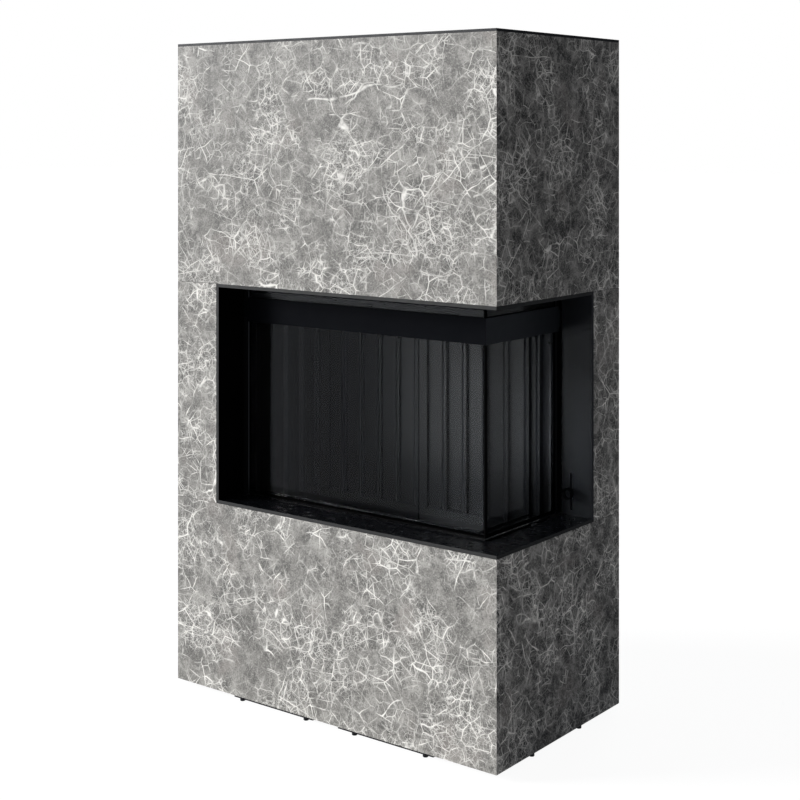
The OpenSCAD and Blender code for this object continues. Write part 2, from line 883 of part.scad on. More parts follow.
// Rear stile of the side pane, made in the same way
module rear_stile() {
    inner = glass_set + glass_t;
    joint_y = door_rear + bead_w;
    tongue_d = 19;
    color("black") place() {
        block([-inner - rail_d, door_rear - 10, door_z0], [-inner, joint_y, rail_z0]);
        translate([0, 0, door_z0]) linear_extrude(glass_h) polygon([
            [-bead_set, joint_y + 1], [-glass_set - 0.5, door_rear], [-inner, door_rear],
            [-inner, joint_y], [-inner - 14, joint_y], [-inner - 14, joint_y + tongue_d],
            [-inner + 1, joint_y + tongue_d], [-inner + 1, joint_y + 1]
        ]);
    }
}

// U-shaped guide rails at the left end and at the rear end of the door
module guide_rails() {
    wall = 3;
    front = hood_set + hood_t + tab_t;
    back = header_set;
    left = -1045;
    mouth_x = -1019;
    mouth_y = 493;
    web_y = 515;
    side_in = -141;
    color("gray") place() translate([0, 0, sill_z]) linear_extrude(guide_z1 - sill_z) {
        polygon([
            [left, front], [mouth_x, front], [mouth_x, front + wall], [left + wall, front + wall],
            [left + wall, back - wall], [mouth_x, back - wall], [mouth_x, back], [left, back]
        ]);
        polygon([
            [-front, mouth_y], [-front, web_y], [side_in, web_y], [side_in, mouth_y],
            [side_in + wall, mouth_y], [side_in + wall, web_y - wall],
            [-front - wall, web_y - wall], [-front - wall, mouth_y]
        ]);
    }
}

// ---- Lifting gear -----------------------------------------------------------

// Pack of steel plates: one block with chamfered upper edges, a groove between plates,
// and a hole down the middle that the cable goes into
module counterweight(x, y, size_x, size_y) {
    chamfer = 4;
    plate_h = 50;
    groove = 2;
    hole_depth = 150;
    half = size_x / 2;
    translate([x, y, weight_z0]) difference() {
        prism_y([
            [-half, 0], [half, 0], [half, weight_h - chamfer], [half - chamfer, weight_h],
            [-half + chamfer, weight_h], [-half, weight_h - chamfer]
        ], -size_y / 2, size_y / 2);
        for (z = [plate_h : plate_h : weight_h - plate_h])
            for (side = [-1, 1])
                translate([side * half, 0, z]) cube([groove, size_y + 2, groove], center = true);
        translate([0, 0, weight_h - hole_depth]) cylinder(d = cable_d + 2, h = hole_depth + 1, $fn = 24);
    }
}

module left_counterweight() {
    color("dimgray") place() counterweight(left_weight_x, cable_y, 69, 63);
}

module rear_counterweight() {
    color("dimgray") place() counterweight(rear_cable_x, rear_weight_y, 61, 71);
}

// U-shaped channels that the counterweights drop in
module weight_channels() {
    z0 = weight_z0 - door_travel - 100;
    len = weight_h + door_travel + 140;
    left_web = frame_x0 + tube;
    rear_web = frame_y1;
    color("gray") place() translate([0, 0, z0]) linear_extrude(len) {
        difference() {
            translate([left_web, cable_y - 36]) square([76, 72]);
            translate([left_web + sheet, cable_y - 34]) square([76, 68]);
        }
        difference() {
            translate([rear_cable_x - 35, rear_web - 80]) square([70, 80]);
            translate([rear_cable_x - 33, rear_web - 81]) square([66, 79]);
        }
    }
}

// Grooved pulley with five lightening holes, axis along Z
module pulley() {
    rim_r = cable_turn_r + 5;
    groove_r = cable_d / 2 + 0.3;
    bore_r = axle_r + 0.05;
    difference() {
        rotate_extrude($fn = 72) difference() {
            translate([bore_r, -pulley_w / 2]) square([rim_r - bore_r, pulley_w]);
            translate([cable_turn_r, 0]) circle(r = groove_r, $fn = 24);
            translate([cable_turn_r, -groove_r]) square([10, 2 * groove_r]);
        }
        for (i = [0 : 4]) rotate(i * 72) translate([36, 0, -pulley_w]) cylinder(r = 14, h = 2 * pulley_w);
    }
}

module left_pulley() {
    color("silver") place()
        translate([left_cable_x - cable_turn_r, cable_y, pulley_z]) rotate([90, 0, 0]) pulley();
}

module rear_pulley() {
    color("silver") place()
        translate([rear_cable_x, rear_cable_y + cable_turn_r, pulley_z]) rotate([0, 90, 0]) pulley();
}

// Hanger with two cheeks and a fixed axle, axle along Z
module hanger() {
    cheek = 3;
    inside = pulley_w / 2 + 1;
    for (side = [-1, 1])
        translate([0, 0, side * (inside + cheek / 2)]) {
            translate([-20, 0, -cheek / 2]) cube([40, top_z0 - pulley_z, cheek]);
            cylinder(r = 20, h = cheek, center = true);
        }
    cylinder(r = axle_r, h = 2 * (inside + cheek) + 4, center = true);
}

module pulley_brackets() {
    color("gray") place() {
        translate([left_cable_x - cable_turn_r, cable_y, pulley_z]) rotate([90, 0, 0]) hanger();
        translate([rear_cable_x, rear_cable_y + cable_turn_r, pulley_z]) rotate([90, 0, 90]) hanger();
    }
}

// Upright stretch of cable
module cable_run(x, y, z0) {
    translate([x, y, z0]) cylinder(d = cable_d, h = pulley_z - z0, $fn = 24);
}

module door_cables() {
    color("silver") place() {
        cable_run(left_cable_x, cable_y, door_z1);
        cable_run(rear_cable_x, rear_cable_y, door_z1);
    }
}

module left_weight_cable() {
    color("silver") place() cable_run(left_weight_x, cable_y, weight_z0 + weight_h);
}

module rear_weight_cable() {
    color("silver") place() cable_run(rear_cable_x, rear_weight_y, weight_z0 + weight_h);
}

// Half turn of cable over a pulley, in the plane X Y of its own frame
module cable_bend() {
    rotate_extrude(angle = 180, $fn = 72) translate([cable_turn_r, 0]) circle(d = cable_d, $fn = 24);
}

module cable_bends() {
    color("silver") place() {
        translate([left_cable_x - cable_turn_r, cable_y, pulley_z]) rotate([90, 0, 0]) cable_bend();
        translate([rear_cable_x, rear_cable_y + cable_turn_r, pulley_z]) rotate([90, 0, 90]) cable_bend();
    }
}

upper_front_panel();
upper_side_panel();
left_pier_panel();
rear_pier_panel();
lower_front_panel();
lower_side_panel();
top_cap();
rear_cover();
left_cover();
base_rails();
skid_plates();
levelling_feet();
frame_posts();
corner_posts();
opening_rails();
top_rails();
insert_legs();
sill_plate();
soffit_plate();
left_jamb_plate();
rear_jamb_plate();
sill_cover();
hearth_pan();
hearth_slabs();
firebox_back_wall();
firebox_left_wall();
left_lining();
back_lining_left();
back_lining_right();
lining_edge_plate();
edge_plate_screws();
baffle_plate();
firebox_roof();
smoke_dome();
flue_pipe();
hood_band();
air_box();
air_spigot();
air_duct();
air_register();
air_gate();
air_lever();
coil_knob();
front_glass();
side_glass();
glass_seal();
door_top_rail();
left_stile();
rear_stile();
guide_rails();
left_counterweight();
rear_counterweight();
weight_channels();
left_pulley();
rear_pulley();
pulley_brackets();
door_cables();
left_weight_cable();
rear_weight_cable();
cable_bends();
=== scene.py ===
"""Corner fireplace: stone slabs round a firebox with an L-shaped glass door that lifts.

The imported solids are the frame. This script gives each of them its finish, and stands
finer pieces over those whose edges, wire or strands show.
"""

import json
import logging
import math
from dataclasses import dataclass
from enum import Enum

import bmesh
import bpy
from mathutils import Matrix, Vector

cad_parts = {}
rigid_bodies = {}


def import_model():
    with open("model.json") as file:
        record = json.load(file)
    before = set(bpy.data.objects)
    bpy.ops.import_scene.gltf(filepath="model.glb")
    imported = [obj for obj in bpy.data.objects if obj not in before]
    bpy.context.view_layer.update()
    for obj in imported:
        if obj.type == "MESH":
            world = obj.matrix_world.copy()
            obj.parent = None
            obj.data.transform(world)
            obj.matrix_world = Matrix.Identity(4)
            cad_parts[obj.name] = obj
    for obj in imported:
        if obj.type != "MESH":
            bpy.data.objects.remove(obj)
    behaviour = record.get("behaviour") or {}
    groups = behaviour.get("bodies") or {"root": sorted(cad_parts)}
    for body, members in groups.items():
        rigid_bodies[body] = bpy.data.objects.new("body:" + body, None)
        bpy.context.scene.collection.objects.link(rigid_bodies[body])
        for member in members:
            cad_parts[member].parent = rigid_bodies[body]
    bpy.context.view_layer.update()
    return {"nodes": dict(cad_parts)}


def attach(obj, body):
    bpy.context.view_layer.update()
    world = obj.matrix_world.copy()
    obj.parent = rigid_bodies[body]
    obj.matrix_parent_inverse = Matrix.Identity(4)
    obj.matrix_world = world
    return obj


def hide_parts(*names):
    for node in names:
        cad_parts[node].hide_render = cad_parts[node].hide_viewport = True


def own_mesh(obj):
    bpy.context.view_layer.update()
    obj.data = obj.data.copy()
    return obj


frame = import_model()
MM = 0.001
# Origin of the corner frame: the lower front right corner of the stone, in the shared frame
CORNER = Vector((0.605, -0.330, 0.018))
X_AXIS, Y_AXIS, Z_AXIS = (1.0, 0.0, 0.0), (0.0, 1.0, 0.0), (0.0, 0.0, 1.0)
NOWHERE = (0.0, 0.0, 0.0)
UNSCALED = (1.0, 1.0, 1.0)
BLACK, WHITE = (0.0, 0.0, 0.0), (1.0, 1.0, 1.0)
MERGED = 1e-6  # metres: points of a mesh that are closer become one
FLAT = math.radians(1.0)  # faces that meet at less than this become one
SHARP = math.radians(25.0)  # edges that turn by more than this are broken
SQUARE_ON = 0.9  # cosine above which a face counts as looking a given way

log = logging.getLogger("fireplace")
Colour = tuple[float, float, float]
Socket = bpy.types.NodeSocket
Material = bpy.types.Material
Input = Socket | float | tuple


def at_corner(x: float, y: float, z: float) -> Vector:
    """Carries a point of the corner frame, in millimetres, to the shared frame, in metres."""
    return CORNER + Vector((x, y, z)) * MM


class Body(Enum):
    """Bodies that a piece can ride on."""

    SURROUND = "surround"
    DOOR = "lift_door"
    AIR = "air_control"
    LEFT_WEIGHT = "left_weight"
    REAR_WEIGHT = "rear_weight"


class Facing(Enum):
    """Ways that a face of a plate can look."""

    FRONT = (0.0, -1.0, 0.0)
    RIGHT = (1.0, 0.0, 0.0)


# ---- Node trees --------------------------------------------------------------


class NodeSheet:
    """Node tree with short calls that add a node and feed its inputs."""

    prefix: str = ""
    tree: bpy.types.NodeTree

    def add(self, kind: str, inputs: dict | None = None, **settings) -> bpy.types.Node:
        """Adds a node.

        Args:
            kind: node type, without the prefix of this sheet.
            inputs: input name or number to a socket or a value.
            settings: attributes of the node.

        Returns:
            The new node.
        """
        node = self.tree.nodes.new(self.prefix + kind)
        for key, value in settings.items():
            setattr(node, key, value)
        for key, value in (inputs or {}).items():
            self.feed(node.inputs[key], value)
        return node

    def feed(self, socket: Socket, value: object) -> None:
        """Links a socket to an output, or sets its value.

        Args:
            socket: input to feed.
            value: output to link it to, or the value to set.
        """
        if isinstance(value, Socket):
            self.tree.links.new(value, socket)
        else:
            socket.default_value = value


class Sheet(NodeSheet):
    """Node tree of one material or world, with short calls for the nodes that finishes share."""

    prefix = "ShaderNode"

    def __init__(self, name: str, sky: bool = False) -> None:
        """Starts an empty tree.

        Args:
            name: name of the material or world.
            sky: whether the tree is a world.
        """
        self.material = (bpy.data.worlds if sky else bpy.data.materials).new(name)
        self.material.use_nodes = True
        self.tree = self.material.node_tree
        self.tree.nodes.clear()
        self.end = self.add("OutputWorld" if sky else "OutputMaterial")
        self.point = self.add("TexCoord").outputs["Generated" if sky else "Object"]

    def math(self, operation: str, a: Input, b: Input = 0.0) -> Socket:
        """Result of a Math node."""
        return self.add("Math", {0: a, 1: b}, operation=operation).outputs[0]

    def ramp(
        self, value: Socket, low: float, high: float, start: float = 0.0, end: float = 1.0
    ) -> Socket:
        """Carries a value from one span to another on a smooth curve.

        Args:
            value: value to carry.
            low: low end of its span.
            high: high end of its span.
            start: result at the low end.
            end: result at the high end.

        Returns:
            The result, which stays between start and end.
        """
        span = {"From Min": low, "From Max": high, "To Min": start, "To Max": end}
        inputs = {"Value": value, **span}
        return self.add("MapRange", inputs, interpolation_type="SMOOTHSTEP").outputs["Result"]

    def blend(self, share: Input, a: Input, b: Input) -> Socket:
        """Mixes two colours.

        Args:
            share: share of the second colour, 0 to 1.
            a: first colour.
            b: second colour.

        Returns:
            The mixed colour.
        """
        a = (*a, 1.0) if isinstance(a, tuple) else a
        b = (*b, 1.0) if isinstance(b, tuple) else b
        return self.add("Mix", {0: share, 6: a, 7: b}, data_type="RGBA").outputs[2]

    def shift(
        self, by: Colour = NOWHERE, scale: Colour = UNSCALED, turn: Colour = NOWHERE
    ) -> Socket:
        """Object coordinates scaled, turned and moved."""
        inputs = {"Vector": self.point, "Location": by, "Rotation": turn, "Scale": scale}
        return self.add("Mapping", inputs).outputs["Vector"]

    def noise(self, point: Socket, size: float, detail: float = 3.0, rough: float = 0.55) -> Socket:
        """Smooth noise whose lumps are about size metres across."""
        inputs = {"Vector": point, "Scale": 1.0 / size, "Detail": detail, "Roughness": rough}
        return self.add("TexNoise", inputs).outputs["Fac"]

    def cells(self, point: Socket, size: float) -> Socket:
        """Draws cells with a random tone each.

        Args:
            point: coordinates.
            size: size of a cell in metres.

        Returns:
            Tone of the cell that the point is in, 0 to 1.
        """
        inputs = {"Vector": point, "Scale": 1.0 / size}
        colour = self.add("TexVoronoi", inputs).outputs["Color"]
        return self.add("SeparateColor", {"Color": colour}).outputs[0]

    def warp(self, point: Socket, size: float, amount: float) -> Socket:
        """Pushes coordinates about by noise.

        Args:
            point: coordinates.
            size: size of the noise's lumps in metres.
            amount: longest push along an axis in metres.

        Returns:
            The pushed coordinates.
        """
        inputs = {"Vector": point, "Scale": 1.0 / size, "Detail": 1.0}
        push = self.add("TexNoise", inputs).outputs["Color"]
        middle = {0: push, 1: (0.5, 0.5, 0.5)}
        centred = self.add("VectorMath", middle, operation="SUBTRACT").outputs[0]
        grown = {0: centred, "Scale": 2.0 * amount}
        scaled = self.add("VectorMath", grown, operation="SCALE").outputs[0]
        return self.add("VectorMath", {0: point, 1: scaled}, operation="ADD").outputs[0]

    def bump(self, height: Socket, depth: float, strength: float) -> Socket:
        """Normal of a height pattern, depth in metres."""
        inputs = {"Height": height, "Distance": depth, "Strength": strength}
        return self.add("Bump", inputs).outputs["Normal"]

    def along(self, direction: Colour) -> Socket:
        """Distance along a direction."""
        inputs = {0: self.point, 1: direction}
        return self.add("VectorMath", inputs, operation="DOT_PRODUCT").outputs["Value"]

    def off(self, direction: Colour, place: float) -> Socket:
        """Distance from a place on a direction, to either side."""
        return self.math("ABSOLUTE", self.math("SUBTRACT", self.along(direction), place))

    def eye(self) -> Socket:
        """One for what the camera sees straight or through glass, else nought."""
        path = self.add("LightPath").outputs
        return self.math("MAXIMUM", path["Is Camera Ray"], path["Is Transmission Ray"])

    def diffuse(self, colour: Colour) -> Socket:
        """Matt shader of one colour."""
        return self.add("BsdfDiffuse", {"Color": (*colour, 1.0)}).outputs[0]

    def either(self, share: Socket, a: Socket, b: Socket) -> Socket:
        """Shader a where the share is nought and b where it is one."""
        return self.add("MixShader", {0: share, 1: a, 2: b}).outputs[0]

    def close(self, shader: Socket) -> None:
        """Ends the tree in a shader."""
        self.tree.links.new(shader, self.end.inputs["Surface"])

    def blacken(self, mask: Socket) -> None:
        """Makes a closed tree matt black in places.

        Args:
            mask: one where it is black.
        """
        shown = self.end.inputs["Surface"].links[0].from_socket
        self.close(self.either(mask, shown, self.diffuse((0.0008, 0.0008, 0.0009))))

    def finish(
        self, base: Socket, rough: Socket, normal: Socket | None = None, **constants: float
    ) -> Material:
        """Closes the tree with a Principled shader.

        Args:
            base: base colour.
            rough: roughness.
            normal: normal socket, or None.
            constants: other sockets by name, with _ for a space.

        Returns:
            The finished material.
        """
        inputs = {"Base Color": base, "Roughness": rough}
        if normal is not None:
            inputs["Normal"] = normal
        inputs.update({key.replace("_", " "): value for key, value in constants.items()})
        self.close(self.add("BsdfPrincipled", inputs).outputs["BSDF"])
        return self.material


# ---- Finishes ----------------------------------------------------------------


class Bend(Enum):
    """Ways in which the coordinates of a net of veins are bent."""

    RAGGED = "ragged"
    FRAYED = "frayed"
    LEAN = "lean"


class Zone(Enum):
    """Noises, each of which says where some of the nets show."""

    CRUSHED = "crushed"
    OTHER = "other"


@dataclass(frozen=True)
class VeinNet:
    """Net of veins, with the size of its cells and the width of its veins in metres.

    Its strength goes from least to most while its zone's noise goes from low to high.
    """

    bend: Bend
    zone: Zone
    cell: float
    width: float
    low: float
    high: float
    least: float
    most: float


VEIN_NETS = (
    VeinNet(Bend.RAGGED, Zone.OTHER, 0.085, 0.0027, 0.44, 0.58, 0.05, 1.0),
    VeinNet(Bend.RAGGED, Zone.CRUSHED, 0.044, 0.0023, 0.40, 0.60, 0.12, 0.95),
    VeinNet(Bend.RAGGED, Zone.CRUSHED, 0.022, 0.0016, 0.44, 0.60, 0.05, 0.72),
    VeinNet(Bend.FRAYED, Zone.CRUSHED, 0.0125, 0.0012, 0.47, 0.62, 0.04, 0.62),
    VeinNet(Bend.FRAYED, Zone.OTHER, 0.034, 0.0018, 0.46, 0.60, 0.04, 0.80),
    VeinNet(Bend.LEAN, Zone.OTHER, 0.30, 0.0034, 0.46, 0.56, 0.0, 0.9),
)
HAZE_NET = VeinNet(Bend.RAGGED, Zone.CRUSHED, 0.044, 0.014, 0.40, 0.60, 0.10, 0.60)


@dataclass(frozen=True)
class StoneFinish:
    """Honed grey marble, crushed in zones and laced with nets of white veins.

    The offset gives each slab its own stretch of the stone, and the share its brightness,
    which is partly the slab's own tone and lower on the side slabs as painted shade.
    Aside is how far the second set of noises lies from the first.
    """

    name: str
    offset: Colour
    share: float
    clast: Colour = (0.158, 0.1534, 0.1434)
    dark: Colour = (0.074, 0.0720, 0.0675)
    pale: Colour = (0.282, 0.2740, 0.2572)
    vein: Colour = (0.690, 0.675, 0.642)
    blush: Colour = (0.234, 0.213, 0.198)
    gloss: float = 0.18
    aside: Colour = (4.1, 2.7, 1.9)

    def tone(self, colour: Colour) -> Colour:
        """Colour at this slab's brightness."""
        return tuple(c * self.share for c in colour)

    def lace(self, s: Sheet, net: VeinNet, point: Socket, zone: Socket) -> Socket:
        """Draws veins on the edges of cells, thick and thin by turns.

        Args:
            s: sheet to draw on.
            net: net to draw.
            point: bent coordinates.
            zone: noise of the net's zone.

        Returns:
            Vein strength, 0 to 1.
        """
        mask = s.ramp(zone, net.low, net.high, net.least, net.most)
        inputs = {"Vector": point, "Scale": 1.0 / net.cell, "Randomness": 1.0}
        edge = s.add("TexVoronoi", inputs, feature="DISTANCE_TO_EDGE").outputs["Distance"]
        swell = s.noise(point, net.cell * 0.9, 4.0, 0.6)
        widest = net.width / net.cell
        reach = s.ramp(swell, 0.36, 0.66, widest * 0.35, widest)
        line = s.ramp(s.math("DIVIDE", edge, reach), 0.05, 1.0, 1.0, 0.0)
        broken = s.ramp(swell, 0.34, 0.58, 0.25, 1.0)
        return s.math("MULTIPLY", s.math("MULTIPLY", line, broken), mask)

    def make(self) -> Material:
        """Draws the finish.

        Returns:
            The material.
        """
        s = Sheet(self.name)
        here = s.shift(self.offset)
        bent = s.warp(s.warp(here, 0.28, 0.045), 0.070, 0.012)
        away = s.shift(tuple(a + b for a, b in zip(self.aside, self.offset)))
        leant = s.shift(self.offset, (1.0, 1.0, 1.9), (0.0, 0.75, 0.4))
        bends = {
            Bend.RAGGED: s.warp(s.warp(bent, 0.030, 0.0030), 0.006, 0.0007),
            Bend.FRAYED: s.warp(s.warp(away, 0.05, 0.007), 0.006, 0.0006),
            Bend.LEAN: s.warp(leant, 0.15, 0.02),
        }
        zones = {
            Zone.CRUSHED: s.noise(here, 0.17, 5.0, 0.62),
            Zone.OTHER: s.noise(away, 0.11, 5.0, 0.62),
        }
        haze, *nets = (
            self.lace(s, net, bends[net.bend], zones[net.zone]) for net in (HAZE_NET, *VEIN_NETS)
        )
        veins = nets[0]
        for net in nets[1:]:
            veins = s.math("MAXIMUM", veins, net)
        cell = s.cells(bends[Bend.RAGGED], 0.050)
        cloud = s.noise(here, 0.050, 5.0, 0.68)
        stain = s.noise(away, 0.16, 2.0)
        grain = s.noise(bends[Bend.FRAYED], 0.0045, 4.0, 0.70)
        layers = (
            (s.ramp(cell, 0.30, 0.90, 0.0, 0.70), self.dark),
            (s.ramp(cloud, 0.46, 0.64, 0.0, 0.95), self.pale),
            (s.ramp(zones[Zone.CRUSHED], 0.46, 0.60, 0.0, 0.35), self.dark),
            (s.ramp(stain, 0.56, 0.70, 0.0, 0.55), self.blush),
            (s.ramp(grain, 0.50, 0.64, 0.0, 0.75), self.pale),
            (s.ramp(grain, 0.34, 0.50, 0.75, 0.0), self.dark),
            (haze, self.pale),
            (veins, self.vein),
        )
        colour = self.tone(self.clast)
        for share, layer in layers:
            colour = s.blend(share, colour, self.tone(layer))
        rough = s.ramp(cloud, 0.3, 0.7, 0.50, 0.42)
        normal = s.bump(s.noise(here, 0.0015, 2.0), 0.00012, 0.5)
        return s.finish(colour, rough, normal, Specular_IOR_Level=self.gloss)


@dataclass(frozen=True)
class PaintFinish:
    """Stove paint on sheet steel: a tone that drifts a little, and a fine orange peel.

    The peel is its depth in metres, and nought where the paint is smooth.
    """

    name: str
    tone: Colour
    rough: float
    specular: float = 0.5
    drift: float = 0.12
    peel: float = 0.00006
    grain_size: float = 0.0012

    def make(self) -> Material:
        """Draws the finish.

        Returns:
            The material.
        """
        s = Sheet(self.name)
        cloud = s.noise(s.point, 0.09, 4.0, 0.6)
        low = tuple(c * (1.0 - self.drift) for c in self.tone)
        high = tuple(c * (1.0 + self.drift) for c in self.tone)
        colour = s.blend(s.ramp(cloud, 0.3, 0.7), low, high)
        wear = s.noise(s.point, 0.03)
        rough = s.ramp(wear, 0.3, 0.7, self.rough * 0.9, self.rough * 1.1)
        normal = None
        if self.peel:
            normal = s.bump(s.noise(s.point, self.grain_size, 2.0), self.peel, 0.6)
        return s.finish(colour, rough, normal, Specular_IOR_Level=self.specular)


@dataclass(frozen=True)
class SheetMetalFinish:
    """Bare metal with flakes of two tones, clouded and scuffed.

    The spangle is the size of a flake in metres.
    """

    name: str
    light: Colour
    dark: Colour
    rough: float
    spangle: float
    metallic: float = 1.0

    def make(self) -> Material:
        """Draws the finish.

        Returns:
            The material.
        """
        s = Sheet(self.name)
        tone = s.cells(s.warp(s.point, 0.02, 0.004), self.spangle)
        stain = s.noise(s.point, 0.12, 4.0, 0.6)
        share = s.math("ADD", s.math("MULTIPLY", tone, 0.55), s.math("MULTIPLY", stain, 0.45))
        colour = s.blend(s.ramp(share, 0.2, 0.8), self.dark, self.light)
        scuff = s.noise(s.point, 0.004, 3.0, 0.6)
        rough = s.ramp(scuff, 0.25, 0.75, self.rough * 0.8, self.rough * 1.25)
        normal = s.bump(scuff, 0.00008, 0.5)
        return s.finish(colour, rough, normal, Metallic=self.metallic)


@dataclass(frozen=True)
class FireclayFinish:
    """Pressed fireclay blackened by soot, with a paler rubbed bloom and painted shade in nooks.

    The joint is the black gap between the halves of the back lining, and the nook shade is
    how near a corner the painted black shade reaches, both in metres.
    """

    name: str
    soot: Colour
    bloom: Colour
    rough: float
    specular: float = 0.4
    joint_x: float = 0.008
    joint_half: float = 0.0024
    nook_shade: float = 0.007

    def make(self) -> Material:
        """Draws the finish.

        Returns:
            The material.
        """
        s = Sheet(self.name)
        cloud = s.noise(s.point, 0.08, 5.0, 0.65)
        fall = s.noise(s.shift(scale=(1.0, 1.0, 0.15)), 0.02, 3.0, 0.6)
        share = s.math("ADD", s.math("MULTIPLY", cloud, 0.6), s.math("MULTIPLY", fall, 0.4))
        colour = s.blend(s.ramp(share, 0.38, 0.68), self.soot, self.bloom)
        rough = s.ramp(cloud, 0.3, 0.7, self.rough, self.rough * 0.85)
        s.finish(colour, rough, Specular_IOR_Level=self.specular)
        joint = s.math("LESS_THAN", s.off(X_AXIS, self.joint_x), self.joint_half)
        # Painted shade: ambient occlusion blackens the fireclay near its corners and flute walls.
        nook_shade = s.add("AmbientOcclusion", {"Distance": self.nook_shade}, samples=8, only_local=True)
        s.blacken(s.math("MAXIMUM", joint, s.ramp(nook_shade.outputs["AO"], 0.45, 0.80, 1.0, 0.0)))
        return s.material


@dataclass(frozen=True)
class PaneFinish:
    """Clear ceramic glass with a black rim along its bottom and up its ends.

    The places runs, ends, foot and near_span are in millimetres of the corner frame. The
    rims and low_span are in metres.
    """

    name: str
    runs: Colour
    ends: tuple[float, float]
    tint: Colour = (0.93, 0.945, 0.95)
    index: float = 1.15
    foot: float = 592.0
    foot_rim: float = 0.007
    end_rim: float = 0.003
    # near and low are the tint's share at the near end and at the foot: that darkening is painted
    # shade.
    near: float = 1.0
    near_span: tuple[float, float] = (200.0, 380.0)
    low: float = 1.0
    low_span: float = 0.26

    def mark(self, place: float) -> float:
        """Distance along the pane, in the shared frame, of a place in the corner frame."""
        return at_corner(*(Vector(self.runs) * place)).dot(Vector(self.runs))

    def haze(self, s: Sheet, foot: float) -> Input:
        """Tints the glass, and darkens it towards its near end and its foot as painted shade.

        Args:
            s: sheet to draw on.
            foot: height of the pane's foot in metres.

        Returns:
            Colour of the glass.
        """
        if self.near == self.low == 1.0:
            return (*self.tint, 1.0)
        start, end = (self.mark(place) for place in self.near_span)
        aside = s.ramp(s.along(self.runs), start, end, self.near, 1.0)
        up = s.ramp(s.along(Z_AXIS), foot, foot + self.low_span, self.low, 1.0)
        return s.blend(s.math("MULTIPLY", aside, up), BLACK, self.tint)

    def make(self) -> Material:
        """Draws the finish.

        Returns:
            The material.
        """
        s = Sheet(self.name)
        foot = at_corner(0.0, 0.0, self.foot).z
        film = s.ramp(s.noise(s.point, 0.06, 4.0, 0.6), 0.3, 0.7, 0.0, 0.012)
        inputs = {"Base Color": self.haze(s, foot), "Roughness": film, "IOR": self.index}
        inputs["Transmission Weight"] = 1.0
        glass = s.add("BsdfPrincipled", inputs).outputs["BSDF"]
        clear = s.add("BsdfTransparent", {"Color": (*self.tint, 1.0)}).outputs["BSDF"]
        s.close(s.either(s.add("LightPath").outputs["Is Shadow Ray"], glass, clear))
        mask = s.math("LESS_THAN", s.along(Z_AXIS), foot + self.foot_rim)
        for end in self.ends:
            rim = s.math("LESS_THAN", s.off(self.runs, self.mark(end)), self.end_rim)
            mask = s.math("MAXIMUM", mask, rim)
        s.blacken(mask)
        return s.material


@dataclass(frozen=True)
class RopeFinish:
    """Galvanised wire rope: fine wires in each strand and grease in the gaps."""

    name: str
    light: Colour = (0.50, 0.50, 0.49)
    grease: Colour = (0.10, 0.095, 0.085)

    def make(self) -> Material:
        """Draws the finish.

        Returns:
            The material.
        """
        s = Sheet(self.name)
        wires = s.noise(s.shift(scale=(1.0, 1.0, 0.35)), 0.0007, 2.0)
        colour = s.blend(s.ramp(wires, 0.35, 0.6), self.grease, self.light)
        rough = s.ramp(s.noise(s.point, 0.01, 2.0), 0.3, 0.7, 0.32, 0.5)
        return s.finish(colour, rough, s.bump(wires, 0.0002, 0.7), Metallic=1.0)


